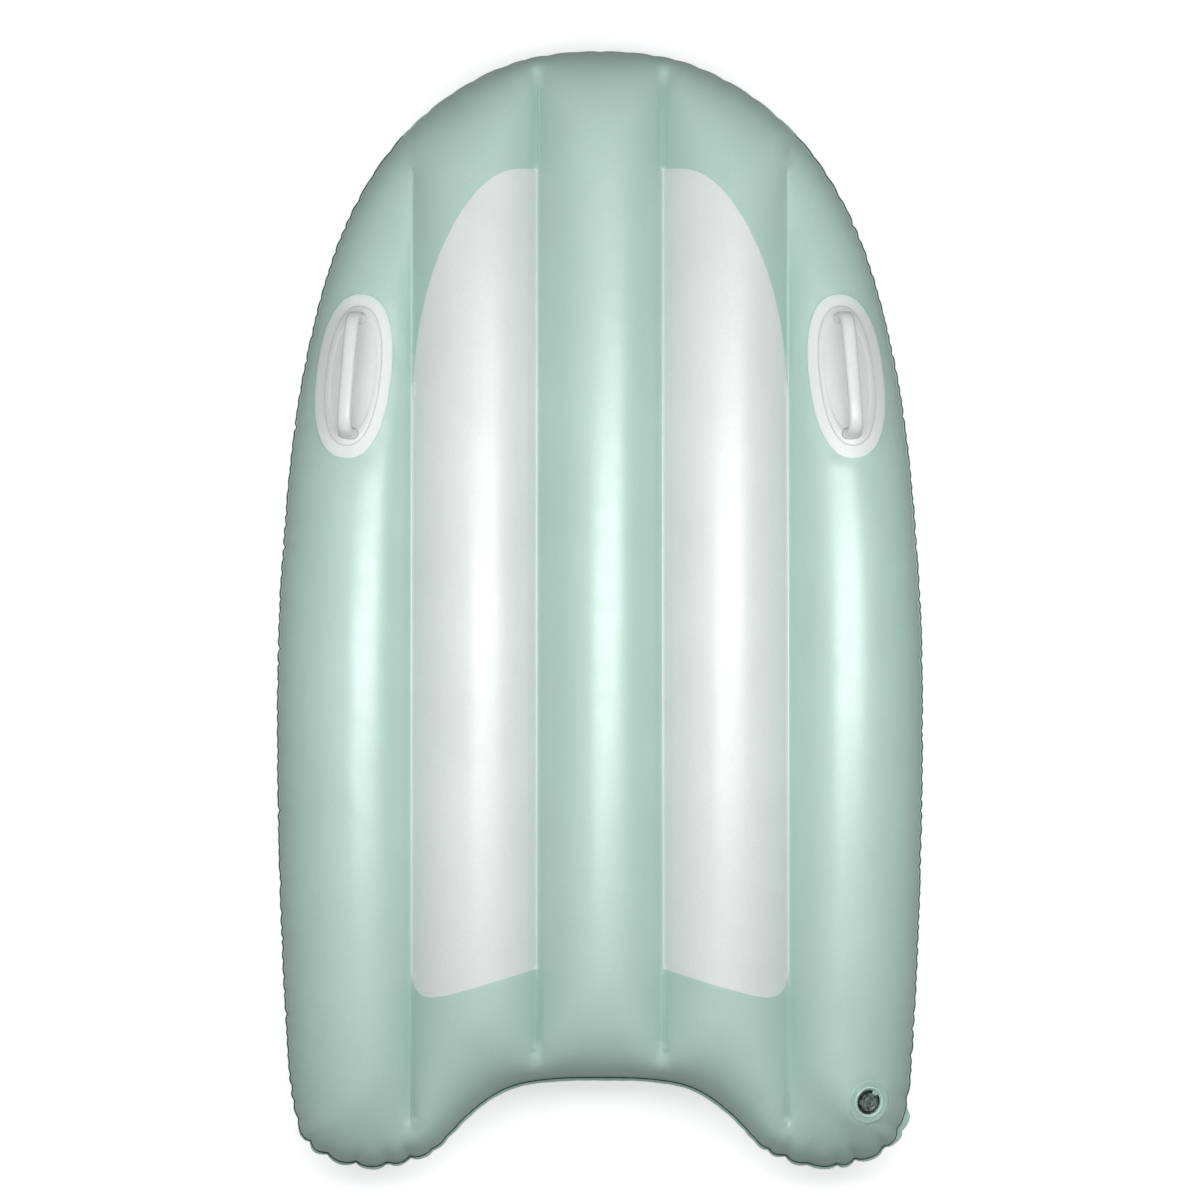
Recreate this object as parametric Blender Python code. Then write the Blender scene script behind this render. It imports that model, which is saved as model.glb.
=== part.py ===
"""Inflatable bodyboard, 1.04 m long.

Two PVC skins are welded together round the edge. Four inner webs divide the board
into five air chambers that lie along it. The top skin carries two welded-on grab
handles and a push-in valve. +Y points to the nose, +X to the valve's side, and the
board rests on z = 0.
"""

import math

import bmesh
import bpy
import numpy as np
from mathutils import Matrix, Vector
from mathutils.geometry import delaunay_2d_cdt

# Half of the weld line in plan, from the nose round the right side to the tail notch.
HALF_OUTLINE = [
    (0.0000, 0.5221),
    (0.0868, 0.5091),
    (0.1700, 0.4570),
    (0.2308, 0.3720),
    (0.2735, 0.2330),
    (0.2957, 0.0380),
    (0.2991, -0.1380),
    (0.2914, -0.3720),
    (0.2826, -0.4650),
    (0.2700, -0.4960),
    (0.2300, -0.5150),
    (0.1910, -0.5143),
    (0.157, -0.5017),
    (0.125, -0.4695),
    (0.100, -0.4502),
    (0.078, -0.4403),
    (0.046, -0.4351),
    (0.000, -0.4338),
]

# The inflated chambers
CHAMBER_RADIUS = 0.0706
CHAMBER_PITCH = 0.1164
WEB_HALF_HEIGHT = math.sqrt(CHAMBER_RADIUS**2 - (CHAMBER_PITCH / 2) ** 2)
EASE = 2.5
FLOOR_TRIM = 0.0010
FILM = 0.00035
WELD_MARGIN = 0.0035
TOUCH_GAP = 0.0003
SEAM_LIFT = TOUCH_GAP / 2 + FILM
MID_Z = CHAMBER_RADIUS - FLOOR_TRIM + SEAM_LIFT

# Each web's weld line: name, x, tail end y, nose end y
WEB_LINES = [
    ("outer_web_left", -1.5 * CHAMBER_PITCH, -0.474, 0.428),
    ("inner_web_left", -0.5 * CHAMBER_PITCH, -0.414, 0.499),
    ("inner_web_right", 0.5 * CHAMBER_PITCH, -0.414, 0.499),
    ("outer_web_right", 1.5 * CHAMBER_PITCH, -0.474, 0.428),
]
WEB_FILM = 0.0004
WEB_TAB = 0.008
WEB_END_SETBACK = 0.014
WEB_FOLD_DROP = 0.0013
WEB_TAB_SLACK = 0.0003

# Mesh spacing of the skins
OUTLINE_POINTS = 104
EDGE_ANGLES = [0, 15, 30]
INNER_EDGE_ANGLES = [45, 60, 75]
LATTICE_OFFSETS = [WEB_TAB, 0.020, 0.034, 0.049]
LATTICE_STEP = 0.078
CLOSEST_POINTS = 0.0078

# Grab handles
HANDLE_CENTRE = (0.2282, 0.2140)
HANDLE_TILT = math.radians(6.3)
PATCH_SIZE = (0.070, 0.156)
PATCH_LIFT = 0.0006
PATCH_FILM = 0.0005
BASE_SIZE = (0.046, 0.131)
BASE_LIFT = PATCH_LIFT + PATCH_FILM + 0.0004
BASE_THICKNESS = 0.0016
GRIP_LENGTH = 0.108
GRIP_TURN = math.radians(1.8)
GRIP_RISE = 0.0255
GRIP_SECTION = (0.0115, 0.0070)
GRIP_CORNERS = 5.0

# Push-in valve, in its own frame: z runs out of the board along the valve's axis
VALVE_CENTRE = (0.2480, -0.4570)
VALVE_SINK = 0.0012
VALVE_SEAT = 0.0208
VALVE_SEAT_FADE = 0.0060
HOLE_RADIUS = 0.0120
FLANGE_RADIUS = 0.0200
STEM_RADIUS = 0.0068
BORE_RADIUS = 0.0048
STEM_BOTTOM = -0.0170
FLAP_RADIUS = 0.0062
ROUND_STEPS = 32


def clear_scene():
    for obj in list(bpy.data.objects):
        bpy.data.objects.remove(obj, do_unlink=True)


def closed_curve(points, per_span):
    """A centripetal Catmull-Rom curve through a closed ring of points."""
    points = np.array(points)
    curve = []
    for i in range(len(points)):
        p = [points[(i + k) % len(points)] for k in (-1, 0, 1, 2)]
        t = [0.0]
        for a, b in zip(p, p[1:]):
            t.append(t[-1] + math.sqrt(np.linalg.norm(b - a)))
        for s in np.linspace(t[1], t[2], per_span, endpoint=False):
            level = list(p)
            for reach in (1, 2):
                level = [
                    (level[k] * (t[k + reach] - s) + level[k + 1] * (s - t[k])) / (t[k + reach] - t[k])
                    for k in range(len(level) - 1)
                ]
            curve.append((level[0] * (t[2] - s) + level[1] * (s - t[1])) / (t[2] - t[1]))
    return np.array(curve)


def evenly(curve, count):
    """The closed curve as count points, equally far apart."""
    ring = np.vstack([curve, curve[:1]])
    run = np.concatenate([[0], np.cumsum(np.linalg.norm(np.diff(ring, axis=0), axis=1))])
    at = np.arange(count) / count * run[-1]
    return np.stack([np.interp(at, run, ring[:, k]) for k in (0, 1)], axis=1)


def inward(ring):
    """The unit normal towards the inside, at each point of a counter-clockwise ring."""
    along = np.roll(ring, -1, axis=0) - np.roll(ring, 1, axis=0)
    along /= np.linalg.norm(along, axis=1)[:, None]
    return np.stack([-along[:, 1], along[:, 0]], axis=1)


def distance_to_segments(points, starts, ends):
    """Each point's distance to the nearest of the segments."""
    along = ends - starts
    share = ((points[:, None] - starts) * along).sum(-1) / (along**2).sum(-1)
    nearest = starts + np.clip(share, 0, 1)[..., None] * along
    return np.linalg.norm(points[:, None] - nearest, axis=-1).min(axis=1)


LEFT_HALF = [(-x, y) for x, y in HALF_OUTLINE]
RIGHT_HALF = HALF_OUTLINE[1:-1][::-1]
OUTLINE = closed_curve(LEFT_HALF + RIGHT_HALF, 16)
WEB_STARTS = np.array([(x, tail) for _, x, tail, _ in WEB_LINES])
WEB_ENDS = np.array([(x, nose) for _, x, _, nose in WEB_LINES])


def edge_distance(points):
    return distance_to_segments(points, OUTLINE, np.roll(OUTLINE, -1, axis=0))


def web_distances(points):
    """Distances to the four web lines in plan, nearest first."""
    lines = [distance_to_segments(points, WEB_STARTS[k : k + 1], WEB_ENDS[k : k + 1]) for k in range(4)]
    return np.sort(np.stack(lines), axis=0)


def eased_minimum(a, b):
    """About the smaller of two lengths squared, with a soft change from one to the other."""
    return a * b / (a**EASE + b**EASE) ** (1 / EASE)


def chamber_height(points):
    """How high the inflated skin stands over the mid-plane.

    Between two webs the film is an arc: its height squared is the web's half height
    squared plus the product of the distances to both webs. The outer chambers have a
    web on one side and the seam, of height 0, on the other. Past a web's end, one turns
    softly into the other.
    """
    edge = edge_distance(points)
    near, next_near = web_distances(points)[:2]
    end_cap = 2 * CHAMBER_RADIUS * edge + 1e-12
    inner = eased_minimum(WEB_HALF_HEIGHT**2 + near * next_near, end_cap)
    at_web = eased_minimum(WEB_HALF_HEIGHT**2, end_cap)
    outer = edge * near + at_web * edge / (edge + near + 1e-12)
    past_web = (np.abs(points[:, 0]) - 1.5 * CHAMBER_PITCH) / (2 * near + 1e-9)
    share = np.clip(past_web + 0.5, 0, 1)
    return np.sqrt(inner * (1 - share) + outer * share)


def surface_normals(points, height):
    """Upward unit normals of a height function, by central differences."""
    step = 0.002
    slopes = [
        (height(points + shift) - height(points - shift)) / (2 * step)
        for shift in np.array([(step, 0), (0, step)])
    ]
    normals = np.stack([-slopes[0], -slopes[1], np.ones(len(points))], axis=1)
    return normals / np.linalg.norm(normals, axis=1)[:, None]


def valve_frame():
    """The valve's place and turn: z along the skin's normal, x level with the floor."""
    at = np.array([VALVE_CENTRE])
    axis = Vector(surface_normals(at, chamber_height)[0])
    point = Vector((*VALVE_CENTRE, MID_Z + SEAM_LIFT + chamber_height(at)[0])) - axis * VALVE_SINK
    across = Vector((0, 1, 0)).cross(axis).normalized()
    turn = Matrix((across, axis.cross(across), axis)).transposed().to_4x4()
    return Matrix.Translation(point) @ turn


VALVE = valve_frame()


def top_height(points):
    """The top skin over the mid-plane, with a flat seat for the valve."""
    origin = VALVE.translation
    axis = VALVE.to_3x3().col[2]
    over_x = points[:, 0] - origin.x
    over_y = points[:, 1] - origin.y
    climb = -(over_x * axis.x + over_y * axis.y) / axis.z
    outside = np.clip((np.sqrt(over_x**2 + over_y**2 + climb**2) - VALVE_SEAT) / VALVE_SEAT_FADE, 0, 1)
    share = 1 - outside**2 * (3 - 2 * outside)
    seat = origin.z - MID_Z - SEAM_LIFT + climb
    return chamber_height(points) * (1 - share) + seat * share


def bottom_height(points):
    """The bottom skin under the mid-plane, flattened where it rests on the floor."""
    return np.minimum(chamber_height(points), CHAMBER_RADIUS - FLOOR_TRIM)


def on_top_skin(points, lift):
    """3-D points that stand lift off the top skin, along its normal."""
    z = MID_Z + SEAM_LIFT + top_height(points)
    return np.column_stack([points, z]) + surface_normals(points, top_height) * lift


def principled(name, colour, roughness, alpha=1.0):
    material = bpy.data.materials.new(name)
    material.use_nodes = True
    shader = material.node_tree.nodes["Principled BSDF"]
    shader.inputs["Base Color"].default_value = (*colour, 1)
    shader.inputs["Roughness"].default_value = roughness
    shader.inputs["Metallic"].default_value = 0
    shader.inputs["Alpha"].default_value = alpha
    return material


def add_object(name, mesh, material, smooth=True):
    obj = bpy.data.objects.new(name, mesh)
    obj.data.materials.append(material)
    bpy.context.collection.objects.link(obj)
    if smooth:
        mesh.shade_smooth()
        mesh.set_sharp_from_angle(angle=math.radians(40))
    return obj


def solidify(obj, thickness, offset):
    film = obj.modifiers.new("Film", "SOLIDIFY")
    film.thickness = thickness
    film.offset = offset
    return film


def valve_rings():
    """Two rings in plan: the hole's rim, and the edge of the valve's flat seat."""
    rings = []
    for radius in (HOLE_RADIUS, VALVE_SEAT):
        steps = np.arange(16) / 16 * 2 * math.pi
        circle = [VALVE @ Vector((radius * math.cos(a), radius * math.sin(a), 0)) for a in steps]
        rings.append(np.array([point[:2] for point in circle]))
    return rings


def along_web(tail, nose):
    """Places of mesh points along a web line: its ends, the strip's ends, and even rows."""
    first, last = tail + WEB_END_SETBACK, nose - WEB_END_SETBACK
    rows = np.arange(-6, 7) * LATTICE_STEP
    between = rows[(rows > first + LATTICE_STEP / 3) & (rows < last - LATTICE_STEP / 3)]
    return [tail, first, *between, last, nose]


def inner_points(ring):
    """Plan points inside the edge rings: edge rows, then a lattice along the webs."""
    rows = []
    for angle in INNER_EDGE_ANGLES:
        depth = CHAMBER_RADIUS * (1 - math.cos(math.radians(angle)))
        row = ring + inward(ring) * depth
        rows.append(row[edge_distance(row) > depth - 0.0005])
    rows = np.vstack(rows)
    crest = CHAMBER_RADIUS - CHAMBER_PITCH / 2
    rows = rows[web_distances(rows)[0] > edge_distance(rows) - crest + 0.004]
    lattice = []
    for _, x, tail, nose in WEB_LINES:
        for offset in LATTICE_OFFSETS:
            for side in (-1, 1):
                lattice += [(x + side * offset, y) for y in along_web(tail, nose)]
    lattice = np.array(lattice)
    inside = edge_distance(lattice) > web_distances(lattice)[0] + crest
    return np.vstack([lattice[inside], rows])


def spaced(candidates, fixed):
    """The candidates that keep their distance from the fixed points and each other."""
    kept = list(fixed)
    for point in candidates:
        if np.linalg.norm(np.array(kept) - point, axis=1).min() > CLOSEST_POINTS:
            kept.append(point)
    return np.array(kept[len(fixed):])


def loop_edges(first, count):
    return [(first + k, first + (k + 1) % count) for k in range(count)]


def skin_plan():
    """Plan points and faces of a skin: edge rings first, then the area inside them."""
    ring = evenly(OUTLINE, OUTLINE_POINTS)
    depths = [-WELD_MARGIN]
    depths += [CHAMBER_RADIUS * (1 - math.cos(math.radians(a))) for a in EDGE_ANGLES]
    rings = [ring + inward(ring) * depth for depth in depths]
    count = OUTLINE_POINTS
    faces = []
    for level in range(len(rings) - 1):
        for k in range(count):
            outer, inner = level * count, (level + 1) * count
            following = (k + 1) % count
            faces.append((outer + k, outer + following, inner + following, inner + k))
    edges = loop_edges(0, count)
    fixed = [rings[-1]]
    filled = count
    for _, x, tail, nose in WEB_LINES:
        line = np.array([(x, y) for y in along_web(tail, nose)])
        fixed.append(line)
        edges += [(filled + k, filled + k + 1) for k in range(len(line) - 1)]
        filled += len(line)
    hole_start = filled
    for circle in valve_rings():
        fixed.append(circle)
        edges += loop_edges(filled, len(circle))
        filled += len(circle)
    fixed = np.vstack(fixed)
    plan = np.vstack([fixed, spaced(inner_points(ring), fixed)])
    hole = (hole_start, hole_start + len(valve_rings()[0]))
    return np.vstack(rings[:-1] + [plan]), faces, edges, (len(rings) - 1) * count, hole


def build_skin(name, side, material):
    """One skin as its outer surface with the weld margin; Solidify gives it the film."""
    points, faces, edges, first, hole = skin_plan()
    flat = [Vector(point) for point in points[first:]]
    _, _, triangles, sources, _, _ = delaunay_2d_cdt(flat, edges, [], 1, 1e-7)
    for triangle in triangles:
        corners = [sources[k][0] for k in triangle]
        if side > 0 and all(hole[0] <= k < hole[1] for k in corners):
            continue
        faces.append(tuple(first + k for k in corners))
    height = top_height(points) if side > 0 else bottom_height(points)
    height[: 2 * OUTLINE_POINTS] = 0
    z = MID_Z + side * (SEAM_LIFT + height)
    if side < 0:
        faces = [face[::-1] for face in faces]
    mesh = bpy.data.meshes.new(name)
    mesh.from_pydata(np.column_stack([points, z]).tolist(), [], faces)
    skin = add_object(name, mesh, material)
    solidify(skin, FILM, -1)
    return skin


def build_web(name, x, tail, nose, material):
    """A film strip between the skins, folded over inboard into a weld tab at each one."""
    drop = FILM + TOUCH_GAP + WEB_FILM / 2 + WEB_TAB_SLACK
    bm = bmesh.new()
    rows = []
    for y in along_web(tail, nose)[1:-1]:
        tab_x = x - math.copysign(WEB_TAB, x)
        valley, tab = chamber_height(np.array([(x, y), (tab_x, y)]))
        slope = Vector((tab_x - x, tab - valley)).normalized()
        tip = Vector((tab_x + abs(slope.y) * math.copysign(drop, tab_x - x), tab - abs(slope.x) * drop))
        fold = Vector((x, valley - WEB_FOLD_DROP))
        line = [tip, fold, Vector((fold.x, -fold.y)), Vector((tip.x, -tip.y))]
        rows.append([bm.verts.new((p.x, y, MID_Z + p.y)) for p in line])
    for a, b in zip(rows, rows[1:]):
        for k in range(3):
            bm.faces.new((a[k], a[k + 1], b[k + 1], b[k]))
    mesh = bpy.data.meshes.new(name)
    bm.to_mesh(mesh)
    bm.free()
    web = add_object(name, mesh, material, smooth=False)
    solidify(web, WEB_FILM, 0)


def handle_plan(side, along, across):
    """Plan points from places along and across a handle, whose nose end leans inwards."""
    lean = side * HANDLE_TILT
    x = side * HANDLE_CENTRE[0] + across * math.cos(lean) - along * math.sin(lean)
    y = HANDLE_CENTRE[1] + across * math.sin(lean) + along * math.cos(lean)
    return np.column_stack([x, y])


def draped_oval(name, side, size, lift, material, rings, steps):
    """An oval film that follows the top skin, lift above it."""
    angle = np.arange(steps) / steps * 2 * math.pi
    shares = np.repeat(np.arange(1, rings + 1) / rings, steps)
    across = shares * np.tile(np.cos(angle), rings) * size[0] / 2
    along = shares * np.tile(np.sin(angle), rings) * size[1] / 2
    plan = handle_plan(side, np.append(along, 0), np.append(across, 0))
    centre = rings * steps
    faces = [(k, (k + 1) % steps, centre) for k in range(steps)]
    for level in range(rings - 1):
        inner, outer = level * steps, (level + 1) * steps
        for k in range(steps):
            following = (k + 1) % steps
            faces.append((inner + following, inner + k, outer + k, outer + following))
    mesh = bpy.data.meshes.new(name)
    mesh.from_pydata(on_top_skin(plan, lift).tolist(), [], faces)
    return add_object(name, mesh, material)


def grip_path(side, steps):
    """The grip's centre line: an arch with rounded corners that stands on the base."""
    t = (np.arange(steps) + 0.5) / steps * math.pi
    t[0], t[-1] = 0, math.pi
    along = -np.sign(np.cos(t)) * np.abs(np.cos(t)) ** (2 / GRIP_CORNERS) * GRIP_LENGTH / 2
    rise = np.sin(t) ** (2 / GRIP_CORNERS) * GRIP_RISE
    plan = handle_plan(side, along, side * along * math.sin(GRIP_TURN))
    foot = on_top_skin(plan, BASE_LIFT + 0.3 * BASE_THICKNESS)
    normal = surface_normals(handle_plan(side, np.zeros(1), np.zeros(1)), top_height)[0]
    return foot + normal * rise[:, None], normal


def build_grip(name, side, material):
    """The bar and its two legs, as one rounded section swept along the arch."""
    path, normal = grip_path(side, 26)
    tilt = HANDLE_TILT - GRIP_TURN
    along = np.array([-side * math.sin(tilt), math.cos(tilt), 0])
    across = np.cross(along, normal)
    across /= np.linalg.norm(across)
    bm = bmesh.new()
    loops = []
    for k, point in enumerate(path):
        ahead = path[min(k + 1, len(path) - 1)] - path[max(k - 1, 0)]
        outward = np.cross(across, ahead)
        outward /= np.linalg.norm(outward)
        at_foot = abs(2 * k / (len(path) - 1) - 1) ** 6
        wide = GRIP_SECTION[0] / 2 * (1 + 0.35 * at_foot)
        thick = GRIP_SECTION[1] / 2 * (1 + 0.35 * at_foot)
        loop = []
        for a in np.arange(12) / 12 * 2 * math.pi:
            spot = point + across * wide * math.cos(a) + outward * thick * math.sin(a)
            loop.append(bm.verts.new(spot))
        loops.append(loop)
    for a, b in zip(loops, loops[1:]):
        for k in range(12):
            following = (k + 1) % 12
            bm.faces.new((a[k], a[following], b[following], b[k]))
    bm.faces.new(loops[0][::-1])
    bm.faces.new(loops[-1])
    bmesh.ops.recalc_face_normals(bm, faces=bm.faces)
    mesh = bpy.data.meshes.new(name)
    bm.to_mesh(mesh)
    bm.free()
    grip = add_object(name, mesh, material)
    grip.hide_render = True
    grip.display_type = "WIRE"
    return grip


def build_handle(side, word, film, plastic):
    patch = draped_oval(f"handle_patch_{word}", side, PATCH_SIZE, PATCH_LIFT, film, 6, 28)
    solidify(patch, PATCH_FILM, 1)
    handle = draped_oval(f"grab_handle_{word}", side, BASE_SIZE, BASE_LIFT, plastic, 4, 28)
    solidify(handle, BASE_THICKNESS, 1)
    union = handle.modifiers.new("Grip", "BOOLEAN")
    union.operation = "UNION"
    union.object = build_grip(f"grip_{word}_guide", side, plastic)


def turned(name, profile, frame, material, steps=ROUND_STEPS):
    """A closed (radius, height) profile turned about the frame's z axis."""
    bm = bmesh.new()
    verts = [bm.verts.new((radius, 0, height)) for radius, height in profile]
    loop = [bm.edges.new((a, b)) for a, b in zip(verts, verts[1:] + verts[:1])]
    bmesh.ops.spin(
        bm, geom=verts + loop, cent=(0, 0, 0), axis=(0, 0, 1), angle=2 * math.pi, steps=steps
    )
    bmesh.ops.remove_doubles(bm, verts=bm.verts, dist=1e-6)
    loose = [edge for edge in bm.edges if not edge.link_faces]
    bmesh.ops.delete(bm, geom=loose, context="EDGES")
    bmesh.ops.recalc_face_normals(bm, faces=bm.faces)
    mesh = bpy.data.meshes.new(name)
    bm.to_mesh(mesh)
    bm.free()
    obj = add_object(name, mesh, material)
    obj.matrix_world = frame
    return obj


def flange_profile():
    """A welded ring with two concentric weld ridges and a raised rim, down to a collar."""
    under, skin, rim = 0.00035, 0.0010, 0.0020
    profile = [(FLANGE_RADIUS, under), (FLANGE_RADIUS, skin)]
    for ridge in (0.0180, 0.0160):
        profile += [(ridge + 0.0005, skin), (ridge, skin + 0.0004), (ridge - 0.0005, skin)]
    profile += [(0.0142, skin), (0.0139, rim), (0.0131, rim), (0.0126, 0.0013), (0.0108, 0.0013)]
    profile += [(0.0108, -0.0025), (0.0115, -0.0025), (0.0115, under)]
    return profile


def build_valve(clear):
    turned("valve_flange", flange_profile(), VALVE, clear)
    cup_top, cup_floor, wall = -0.0015, -0.0065, 0.0005
    cup, neck = 0.01045, STEM_RADIUS + 0.00035
    diaphragm = [(cup, cup_top), (cup, cup_floor), (neck, cup_floor), (neck, cup_floor + wall)]
    diaphragm += [(cup - wall, cup_floor + wall), (cup - wall, cup_top)]
    turned("valve_diaphragm", diaphragm, VALVE, clear)
    lip = STEM_RADIUS + 0.0007
    stem = [(STEM_RADIUS, STEM_BOTTOM), (STEM_RADIUS, -0.0002), (lip, -0.0002), (lip, 0.0006)]
    stem += [(BORE_RADIUS + 0.0004, 0.0006), (BORE_RADIUS, 0.0001), (BORE_RADIUS, STEM_BOTTOM)]
    turned("valve_stem", stem, VALVE, clear)
    cap, cap_under, cap_top = 0.0084, 0.00095, 0.0024
    bung = BORE_RADIUS - 0.0004
    plug = [(0, cap_top), (0, -0.0070), (bung - 0.0010, -0.0070), (bung, -0.0058), (bung, cap_under)]
    plug += [(cap, cap_under), (cap, cap_top - 0.0004), (cap - 0.0004, cap_top)]
    turned("valve_plug", plug, VALVE, clear)
    build_tether(cap, lip, clear)
    hinge = Matrix.Translation((-FLAP_RADIUS, 0, STEM_BOTTOM - 0.00035))
    build_flap(VALVE @ hinge, clear)


def build_tether(cap, lip, material):
    """A strap folded from the cap's edge out, down and back to the stem's lip."""
    gap, width, thickness = 0.0004, 0.0040, 0.0006
    reach, low, high = 0.0100, -0.0002, 0.0019
    line = [(cap + gap, high), (reach - 0.0004, high), (reach, high - 0.0005)]
    line += [(reach, low + 0.0006), (reach - 0.0004, low), (lip + gap, low)]
    bm = bmesh.new()
    rows = []
    for y in (-width / 2, width / 2):
        rows.append([bm.verts.new((-r, y, z)) for r, z in line])
    for k in range(len(line) - 1):
        bm.faces.new((rows[0][k], rows[0][k + 1], rows[1][k + 1], rows[1][k]))
    mesh = bpy.data.meshes.new("plug_tether")
    bm.to_mesh(mesh)
    bm.free()
    tether = add_object("plug_tether", mesh, material, smooth=False)
    tether.matrix_world = VALVE
    solidify(tether, thickness, 0)


def build_flap(hinge, material):
    """A thin disc under the stem, hinged at the edge of its upper face."""
    bm = bmesh.new()
    bmesh.ops.create_cone(
        bm,
        cap_ends=True,
        segments=24,
        radius1=FLAP_RADIUS,
        radius2=FLAP_RADIUS,
        depth=0.0007,
        matrix=Matrix.Translation((FLAP_RADIUS, 0, -0.00035)),
    )
    mesh = bpy.data.meshes.new("check_flap")
    bm.to_mesh(mesh)
    bm.free()
    flap = add_object("check_flap", mesh, material)
    flap.matrix_world = hinge


def main():
    clear_scene()
    mint = principled("mint_pvc", (0.43, 0.60, 0.54), 0.38)
    web_film = principled("web_pvc", (0.50, 0.66, 0.60), 0.45)
    white = principled("white_pvc", (0.80, 0.82, 0.82), 0.40)
    clear = principled("clear_pvc", (0.75, 0.80, 0.79), 0.12, alpha=0.5)
    build_skin("top_skin", 1, mint)
    build_skin("bottom_skin", -1, mint)
    for name, x, tail, nose in WEB_LINES:
        build_web(name, x, tail, nose, web_film)
    for side, word in ((-1, "left"), (1, "right")):
        build_handle(side, word, white, white)
    build_valve(clear)


main()
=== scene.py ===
"""Visual model of an inflatable bodyboard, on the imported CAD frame.

The two skins are welded along the puckered seam and blown up by a small film simulation,
which gives the folds that run in from the weld. +Y points to the nose, +X to the valve's side, metres.
"""

import math

import bmesh
import bpy
import numpy as np
from mathutils import Matrix, Vector
from mathutils.geometry import delaunay_2d_cdt


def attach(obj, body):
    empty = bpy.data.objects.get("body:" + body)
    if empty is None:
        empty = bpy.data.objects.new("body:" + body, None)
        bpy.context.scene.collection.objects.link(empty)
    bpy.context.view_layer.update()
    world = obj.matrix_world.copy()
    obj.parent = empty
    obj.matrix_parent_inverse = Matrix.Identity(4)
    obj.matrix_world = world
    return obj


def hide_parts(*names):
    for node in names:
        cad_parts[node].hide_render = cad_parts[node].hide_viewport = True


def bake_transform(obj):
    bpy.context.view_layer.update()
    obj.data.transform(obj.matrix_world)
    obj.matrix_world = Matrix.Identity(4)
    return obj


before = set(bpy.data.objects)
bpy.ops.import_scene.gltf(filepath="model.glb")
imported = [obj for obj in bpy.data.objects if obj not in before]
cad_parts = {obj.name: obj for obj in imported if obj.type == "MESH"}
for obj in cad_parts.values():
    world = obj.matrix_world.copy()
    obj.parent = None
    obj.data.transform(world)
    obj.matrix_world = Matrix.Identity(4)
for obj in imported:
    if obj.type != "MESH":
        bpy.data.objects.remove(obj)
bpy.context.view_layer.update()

# ---------------------------------------------------------------- the board's plan

# Half of the weld line, from the nose round the right side to the tail notch
HALF_OUTLINE = [
    (0.0000, 0.5221),
    (0.0868, 0.5091),
    (0.1700, 0.4570),
    (0.2308, 0.3720),
    (0.2735, 0.2330),
    (0.2957, 0.0380),
    (0.2991, -0.1380),
    (0.2914, -0.3720),
    (0.2826, -0.4650),
    (0.2700, -0.4960),
    (0.2300, -0.5150),
    (0.1910, -0.5143),
    (0.1570, -0.5017),
    (0.1250, -0.4695),
    (0.1000, -0.4502),
    (0.0780, -0.4403),
    (0.0460, -0.4351),
    (0.0000, -0.4338),
]

# Chambers: the film's radius, the distance between webs, and half a web's height
RADIUS = 0.0706
PITCH = 0.1164
WEB_HALF = math.sqrt(RADIUS**2 - (PITCH / 2) ** 2)
EASE = 2.5  # how sharply a chamber's height turns into its end cap
FLOOR_TRIM = 0.0010  # how much the underside is flattened where it rests
MID_Z = 0.0701  # the height of the weld over the floor
SEAM_LIFT = 0.0005  # how far each skin stands off the mid-plane
INNER_WEB = 0.5 * PITCH
OUTER_WEB = 1.5 * PITCH
INNER_WEB_ENDS = (-0.414, 0.499)
OUTER_WEB_ENDS = (-0.474, 0.428)

# Printed panel on the right: its nose curve and its tail line, from web to web
PANEL_NOSE = [
    (INNER_WEB, 0.4080),
    (0.0830, 0.4060),
    (0.1010, 0.3970),
    (0.1190, 0.3790),
    (0.1360, 0.3530),
    (0.1540, 0.3150),
    (0.1660, 0.2720),
    (0.1715, 0.2380),
    (OUTER_WEB, 0.1960),
]
PANEL_TAIL = [
    (OUTER_WEB, -0.3360),
    (0.1730, -0.3500),
    (0.1660, -0.3590),
    (0.1520, -0.3615),
    (0.1200, -0.3530),
    (INNER_WEB, -0.3340),
]

# Beyond these places along the board no print lies beside the webs
PRINT_NOSE = 0.405
PRINT_TAIL = -0.340

# Mesh spacing: seam points, rings along the seam as depths, edge rows as (depth, points),
# then a lattice of rows and columns, with columns at set distances from each web
SEAM_COUNT = 840
RING_DEPTHS = [0.0, 0.003, 0.0065, 0.0105]
EDGE_ROWS = [(0.0150, 600), (0.0200, 466), (0.0262, 420)]
ROW = 0.0070
COLUMN = PITCH / 16 * 0.98
CURVE_STEP = 0.0045
WEB_COLUMNS = [0.0006, 0.0024, 0.0052, 0.0097]
WELD_HALF = 0.0007  # half the width of a web's flat weld
LATTICE_DEPTH = 0.0305  # how far from the seam the lattice begins
LATTICE_GAP = 0.00055  # the least distance from the lattice to a fixed line
ROW_DEPTH = 0.0145  # how far from the seam the edge rows begin, also across the notch
ROW_GAP = 0.0028
LOOSE_GAP = 0.0035
CHUNK = 2000  # points measured at a time

# Valve and handles, as in the CAD. The film is held under a handle's oval and at the valve's seat
HANDLE_CENTRE = (0.2282, 0.2140)
HANDLE_TILT = math.radians(6.3)
OVAL_FULLNESS = 2.35
HELD_OVAL = (0.074, 0.160)
VALVE_CENTRE = (0.2480, -0.4570)
VALVE_SINK = 0.0012
VALVE_SEAT = 0.0208
VALVE_SEAT_FADE = 0.0060
HOLE_RADIUS = 0.0120
HOLE_POINTS = 36
SEAT_RINGS = [(0.0164, 30), (0.0250, 36)]  # (radius, points) of loose rings round the valve
HOLE_RING = (0.006, 10)  # a ring inside the hole, which keeps its faces even until they go


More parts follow.
